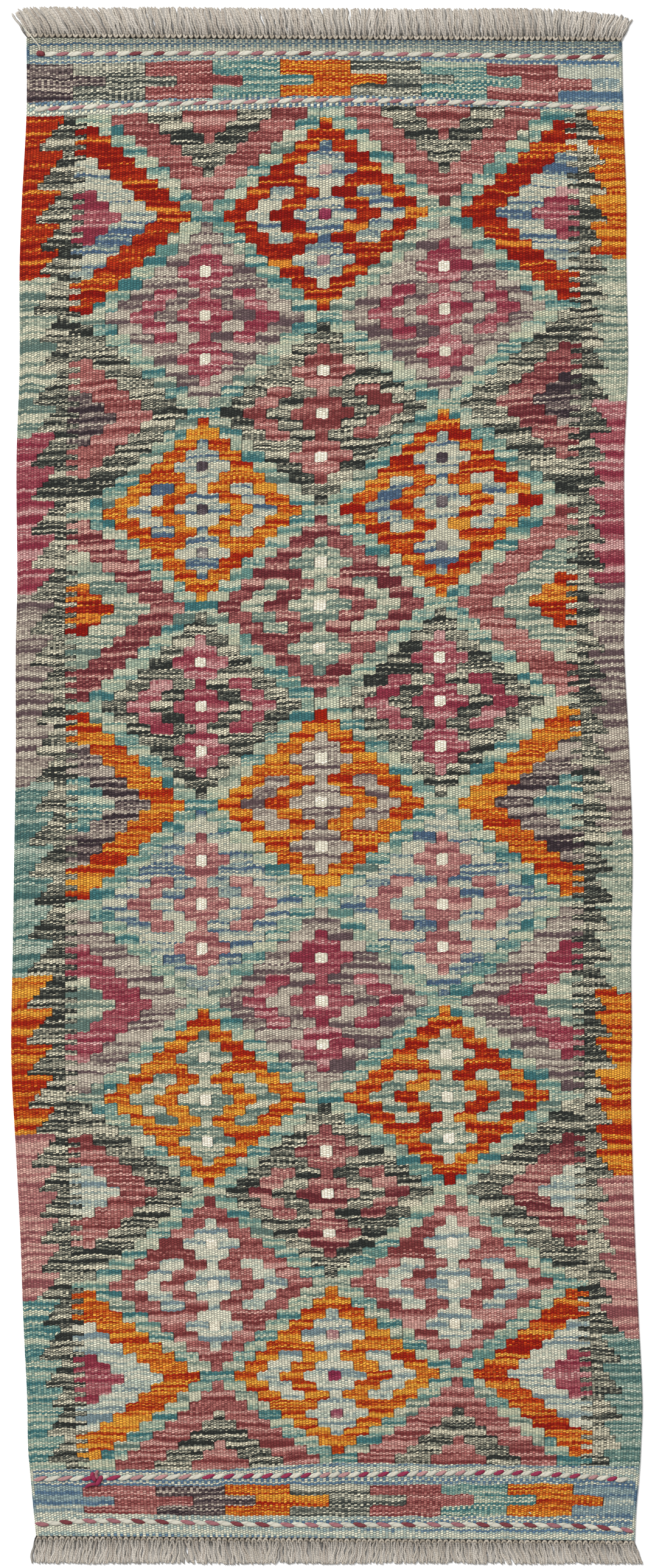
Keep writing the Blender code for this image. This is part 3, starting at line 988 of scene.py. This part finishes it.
def add_loose_threads(maker, name, chance):
    shares = [number / THREAD_SECTIONS for number in range(THREAD_SECTIONS + 1)]
    for radius, tone, route_px in LOOSE_THREADS.get(name, ()):
        spots = np.array([to_metres(*spot) for spot in route_px])
        knots = [number / (len(spots) - 1) for number in range(len(spots))]
        height = THREAD_HEIGHT + radius * THREAD_LIFT
        path = [Vector((x, y, height)) for x, y in curve_weights(knots, shares) @ spots]
        radii = [radius * (1 - THREAD_TAPER * abs(2 * share - 1) ** 4) for share in shares]
        maker.tube(tube_rings(path, radii, THREAD_SIDES), tone, chance.random())


def stitch_rings(start, end, width, slant):
    """The rings of one stitch: a plump yarn that rises out of the cloth, crosses over and dips again."""
    rings = []
    for number in range(STITCH_SECTIONS + 1):
        t = number / STITCH_SECTIONS
        size = math.sin(math.pi * mix(*STITCH_ENDS, t)) ** STITCH_BULGE
        x, y = start.lerp(end, t)
        y += slant * (t - 0.5) * 2
        z = STITCH_FLOOR + STITCH_HEIGHT * (0.5 * size - 0.25)
        angles = [2 * math.pi * side / STITCH_SIDES for side in range(STITCH_SIDES)]
        rings.append([
            (x, y + width / 2 * size * math.cos(angle), z + STITCH_HEIGHT / 2 * size * math.sin(angle))
            for angle in angles
        ])
    return rings


def make_twined_line(line, material):
    """Cream and dyed yarns twined round each other across the rug, each on top in turn."""
    chance = random.Random(line.name)
    maker = YarnMaker()
    across, last = line.route[0][0] * MM, line.route[-1][0] * MM
    is_cream = line.starts_cream
    while across < last - LEAST_PITCH:
        pitch = [pitch * MM for start, pitch in line.pitches if across >= start * MM][-1]
        pitch *= chance.uniform(*STITCH_PITCHES) * (CREAM_PITCH if is_cream else DYED_PITCH)
        pitch = min(pitch, last - across + LAST_REACH)
        overlap = pitch * (STITCH_OVERLAP - 1) / 2
        (_, y), (_, next_y) = curve_at(line.route, [across, across + pitch])
        start, end = Vector((across - overlap, y)), Vector((across + pitch + overlap, next_y))
        tone = CREAM_YARN if is_cream else chance.choice(line.yarns)
        width = STITCH_WIDTH if is_cream else line.dyed_width
        maker.tube(stitch_rings(start, end, width, line.slant), tone, chance.random())
        across += pitch
        is_cream = not is_cream
    add_loose_threads(maker, line.name, chance)
    return maker.make(line.name + "_yarns", material, line.name)


# --- Materials ---


def operator(operation, order=1):
    """What a Socket does for one of Python's operators."""
    return lambda *values: values[0].graph.math(operation, *values[::order])


class Socket:
    """A node's output. It is reckoned with like a number, and each operator adds a math node."""

    __add__ = __radd__ = operator("ADD")
    __sub__ = operator("SUBTRACT")
    __rsub__ = operator("SUBTRACT", -1)
    __mul__ = operator("MULTIPLY")
    __truediv__ = operator("DIVIDE")
    __mod__ = operator("MODULO")
    __pow__ = operator("POWER")

    def __init__(self, graph, output):
        self.graph = graph
        self.output = output


class Graph:
    """The nodes of a material. A key names an input by its name or its number."""

    def __init__(self, name):
        self.material = bpy.data.materials.new(name)
        self.material.use_nodes = True
        self.tree = self.material.node_tree

    def put(self, node, inputs):
        for key, value in inputs.items():
            if isinstance(value, Socket):
                self.tree.links.new(value.output, node.inputs[key])
            else:
                node.inputs[key].default_value = value

    def add(self, kind, inputs, output=0, **settings):
        node = self.tree.nodes.new("ShaderNode" + kind)
        for name, value in settings.items():
            setattr(node, name, value)
        self.put(node, inputs)
        return Socket(self, node.outputs[output])

    def finish(self, colour, roughness, specular, bump=None):
        inputs = {"Base Color": colour, "Roughness": roughness, "Specular IOR Level": specular}
        if bump:
            inputs["Normal"] = self.add("Bump", bump)
        self.put(self.tree.nodes["Principled BSDF"], inputs)
        return self.material

    def math(self, operation, *values):
        return self.add("Math", dict(enumerate(values)), operation=operation)

    def mix(self, share, start, end):
        return self.add("Mix", {"Factor": share, 6: start, 7: end}, 2, data_type="RGBA")

    def scale(self, colour, amount):
        return self.add("VectorMath", {0: colour, "Scale": amount}, operation="SCALE")

    def step(self, value, middle, softness):
        inputs = {"Value": value, "From Min": middle - softness, "From Max": middle + softness}
        return self.add("MapRange", inputs, interpolation_type="SMOOTHSTEP")

    def attribute(self, name, output="Color"):
        return self.add("Attribute", {}, output, attribute_name=name)

    def split(self, vector):
        node = self.add("SeparateXYZ", {0: vector}).output.node
        return [Socket(self, output) for output in node.outputs]

    def vector(self, *parts):
        return self.add("CombineXYZ", dict(enumerate(parts)))

    def noise(self, *place, detail=1.0):
        inputs = {"Vector": self.vector(*place), "Scale": 1.0, "Detail": detail}
        return self.add("TexNoise", inputs)

    def random(self, *place):
        return self.add("TexWhiteNoise", {"Vector": self.vector(*place)})

    def uv(self, name):
        return self.split(self.add("UVMap", {}, uv_map=name))

    def vary(self, value, amount):
        """1, give or take half an amount, as a value goes from 0 to 1."""
        return 1 - amount / 2 + value * amount

    def dome(self, share, power):
        """Nothing at a share of 0 or 1, and 1 between them."""
        return 1.0 - self.math("ABSOLUTE", share * 2.0 - 1.0) ** power


# How noises vary with the ribs and with the grains, how much they move what they act on, and a seed.
DRIFT = (0.09, 0.05, 3.0)
WAVE = (0.45, 0.35, 1.2, 7.0)
SHUTTLE = (0.05, 0.10, 0.6)
SLANT = 0.14
MARL_SLANT = 0.12
AREA_SKEIN = 3.7
LEFT_SKEIN = 1.3
PLY_SKEIN = 3.1
FLECK_LENGTH = 7.0
# How strongly the dye, the flecks, the two plies and single grains sway the tone.
DYE_CONTRAST = 2.65
FLECK_CONTRAST = 0.35
MARL_CONTRAST = 0.75
PLY_CONTRAST = 0.36
STRAY_CONTRAST = 0.16
TONE_SOFTNESS = 0.11
# The grain's rounded form, and the painted shade that darkens it towards its edges and between grains.
GRAIN_BOW = 2.0
RIB_BOW = 2.4
RIB_EDGE = 0.28
GRAIN_CURVE = 0.8
# How far the colour between grains leans to the wool's low tone: partly the yarn's own darker tone, partly
# painted shade.
BETWEEN = 0.48
MARL_BETWEEN = 0.27
EDGE_LIGHT = 0.24
CREST_LIGHT = 1.06
STRAY_LIGHT = 0.36
# How the painted shade in the slits fades away from them, and how dark it gets at most.
SLIT_FADE = 1.1
SLIT_SHADE_DEPTH = 0.95
WOOL_ROUGHNESS = 0.92
WOOL_SPECULAR = 0.15


def woven_wool():
    """Weft-faced wool. Each pick shows as plump grains on every other rib, so neighbouring ribs show one
    yarn going and coming. Its tone changes slowly along the yarn, which makes the streaks."""
    g = Graph("woven_wool")
    ribs, grains, _ = g.uv("weave")
    low_share, high_share, marl = g.split(g.attribute("tone_shares", "Vector"))
    left, width, seed = g.split(g.attribute("yarn_run", "Vector"))
    rib = g.math("FLOOR", ribs)
    across = g.math("FRACT", ribs)
    odd = rib % 2.0

    def uneven(per_rib, per_grain, amount, *offset):
        return (g.noise(ribs * per_rib, grains * per_grain, *offset) - 0.5) * amount

    lay = grains - odd * 0.5 + (across - 0.5) * (SLANT + marl * MARL_SLANT)
    lay = lay + uneven(*DRIFT) + uneven(*WAVE)
    line = g.math("FLOOR", lay)
    along = g.math("FRACT", lay)

    from_left = rib - left
    yarn = (line * 2.0 + odd) * width + from_left + odd * (width - from_left * 2.0)
    skein = seed * AREA_SKEIN + left * LEFT_SKEIN
    dyed = g.noise(yarn / g.attribute("dye_length", "Fac"), skein)
    ply = g.math("FLOOR", along * 2.0)
    flecks = g.noise(yarn * (1 / FLECK_LENGTH), skein, ply * PLY_SKEIN)
    stray = g.random(rib, line, seed)
    level = (dyed - 0.5) * DYE_CONTRAST + uneven(*SHUTTLE, seed) * (odd - 0.5)
    fleck = (flecks - 0.5) * (FLECK_CONTRAST + marl * MARL_CONTRAST)
    fleck += (ply - 0.5) * (marl * PLY_CONTRAST)
    level = level + fleck + 0.5 + (stray - 0.5) * STRAY_CONTRAST

    low_tone = g.attribute("low_tone")
    colour = g.mix(g.step(level, low_share, TONE_SOFTNESS), low_tone, g.attribute("middle_tone"))
    colour = g.mix(g.step(level, high_share, TONE_SOFTNESS), colour, g.attribute("high_tone"))
    grain = g.dome(along, GRAIN_BOW) * (RIB_EDGE + g.dome(across, RIB_BOW) * (1 - RIB_EDGE))
    height = grain**GRAIN_CURVE
    # Painted shade and light: the gaps between grains and ribs are darkened and lean to the low tone, and the
    # crests are brightened.
    between = g.mix(BETWEEN + marl * MARL_BETWEEN, colour, low_tone)
    shade = (EDGE_LIGHT + height * CREST_LIGHT) * g.vary(stray, STRAY_LIGHT)
    # Painted shade in the slits between blocks.
    shade = shade * (1.0 - g.attribute("slit", "Fac") ** SLIT_FADE * SLIT_SHADE_DEPTH)
    bump = {"Height": grain, "Distance": 0.0006, "Strength": 0.8}
    return g.finish(g.scale(g.mix(height, between, colour), shade), WOOL_ROUGHNESS, WOOL_SPECULAR, bump)


# How much darker the painted shade makes the crease between two plies, and how the fibres run round and along
# the yarn.
PLY_LIGHT = 0.70
PLY_SHADE = 0.34
FIBRES_ROUND = 9.0
FIBRES_ALONG = 14.0
SEED_LIGHT = 0.16


def plied_yarn(name, turns, roughness, fuzz):
    """Plied wool: painted shade darkens the crease that winds between two plies, and fine fibres run along
    them.
    """
    g = Graph(name)
    round_it, along, _ = g.uv("yarn")
    seed = g.attribute("seed", "Fac")
    winding = round_it * 2.0 + along * turns
    ply = g.math("ABSOLUTE", g.math("SINE", winding * math.pi)) ** 0.5
    fibre = g.noise(winding * FIBRES_ROUND, along * FIBRES_ALONG, seed, detail=2.0)
    shade = (PLY_LIGHT + ply * PLY_SHADE) * g.vary(fibre, fuzz) * g.vary(seed, SEED_LIGHT)
    bump = {"Height": ply + fibre * 0.5, "Distance": 0.0005, "Strength": 0.7}
    return g.finish(g.scale(g.attribute("tone"), shade), roughness, WOOL_SPECULAR, bump)


# --- The set ---

FLOOR_HALF = 6.0
FLOOR_GAP = 0.0002
FLOOR_COLOUR = (0.93, 0.93, 0.93, 1)
CAMERA_HEIGHT = 6.0
CAMERA_REACH = 100
SENSOR = 36.0
LIGHT_PLACE = Vector((-6.6, 7.2, 10.8))
LIGHT_SIZE = 4.8
LIGHT_WATTS = 2070
WORLD_LIGHT = 0.62


def make_floor():
    mesh = bpy.data.meshes.new("floor")
    corners = [(x * FLOOR_HALF, y * FLOOR_HALF, -FLOOR_GAP) for x, y in ((-1, -1), (1, -1), (1, 1), (-1, 1))]
    mesh.from_pydata(corners, [], [(0, 1, 2, 3)])
    mesh.materials.append(Graph("pale_floor").finish(FLOOR_COLOUR, roughness=1.0, specular=0.0))
    floor = place_in_scene("floor", mesh)
    return floor


def make_studio():
    """The camera at the photograph's viewing angle, a soft light and a white world."""
    view = bpy.data.cameras.new("camera")
    view.sensor_width = SENSOR
    view.lens = SENSOR * CAMERA_HEIGHT / (PHOTO_PX[1] * PIXEL)
    view.clip_end = CAMERA_REACH
    middle = to_metres(PHOTO_PX[0] / 2, PHOTO_PX[1] / 2)
    camera = place_in_scene("camera", view, (*middle, CAMERA_HEIGHT + CLOTH_THICKNESS))
    bpy.context.scene.camera = camera
    key = bpy.data.lights.new("key", "AREA")
    key.size = LIGHT_SIZE
    key.energy = LIGHT_WATTS
    light = place_in_scene("key", key, LIGHT_PLACE)
    light.rotation_euler = (-LIGHT_PLACE).to_track_quat("-Z", "Y").to_euler()
    world = bpy.data.worlds.new("studio")
    world.use_nodes = True
    background = world.node_tree.nodes["Background"]
    background.inputs["Color"].default_value = (1, 1, 1, 1)
    background.inputs["Strength"].default_value = WORLD_LIGHT
    bpy.context.scene.world = world
    bpy.context.scene.view_settings.view_transform = "Standard"


make_studio()
floor = make_floor()
cloth = make_cloth(woven_wool())
warp_yarn = plied_yarn("undyed_warp", turns=0.0, roughness=0.9, fuzz=0.36)
twined_yarn = plied_yarn("twined_yarn", turns=1.6, roughness=0.85, fuzz=0.56)
on_the_cloth = [
    make_fringe("upper_warp_ends", "fringe_top", UPPER_END, UPPER_LEANS, warp_yarn),
    make_fringe("lower_warp_ends", "fringe_bottom", LOWER_END, LOWER_LEANS, warp_yarn),
]
on_the_cloth += [make_twined_line(line, twined_yarn) for line in TWINED_LINES]
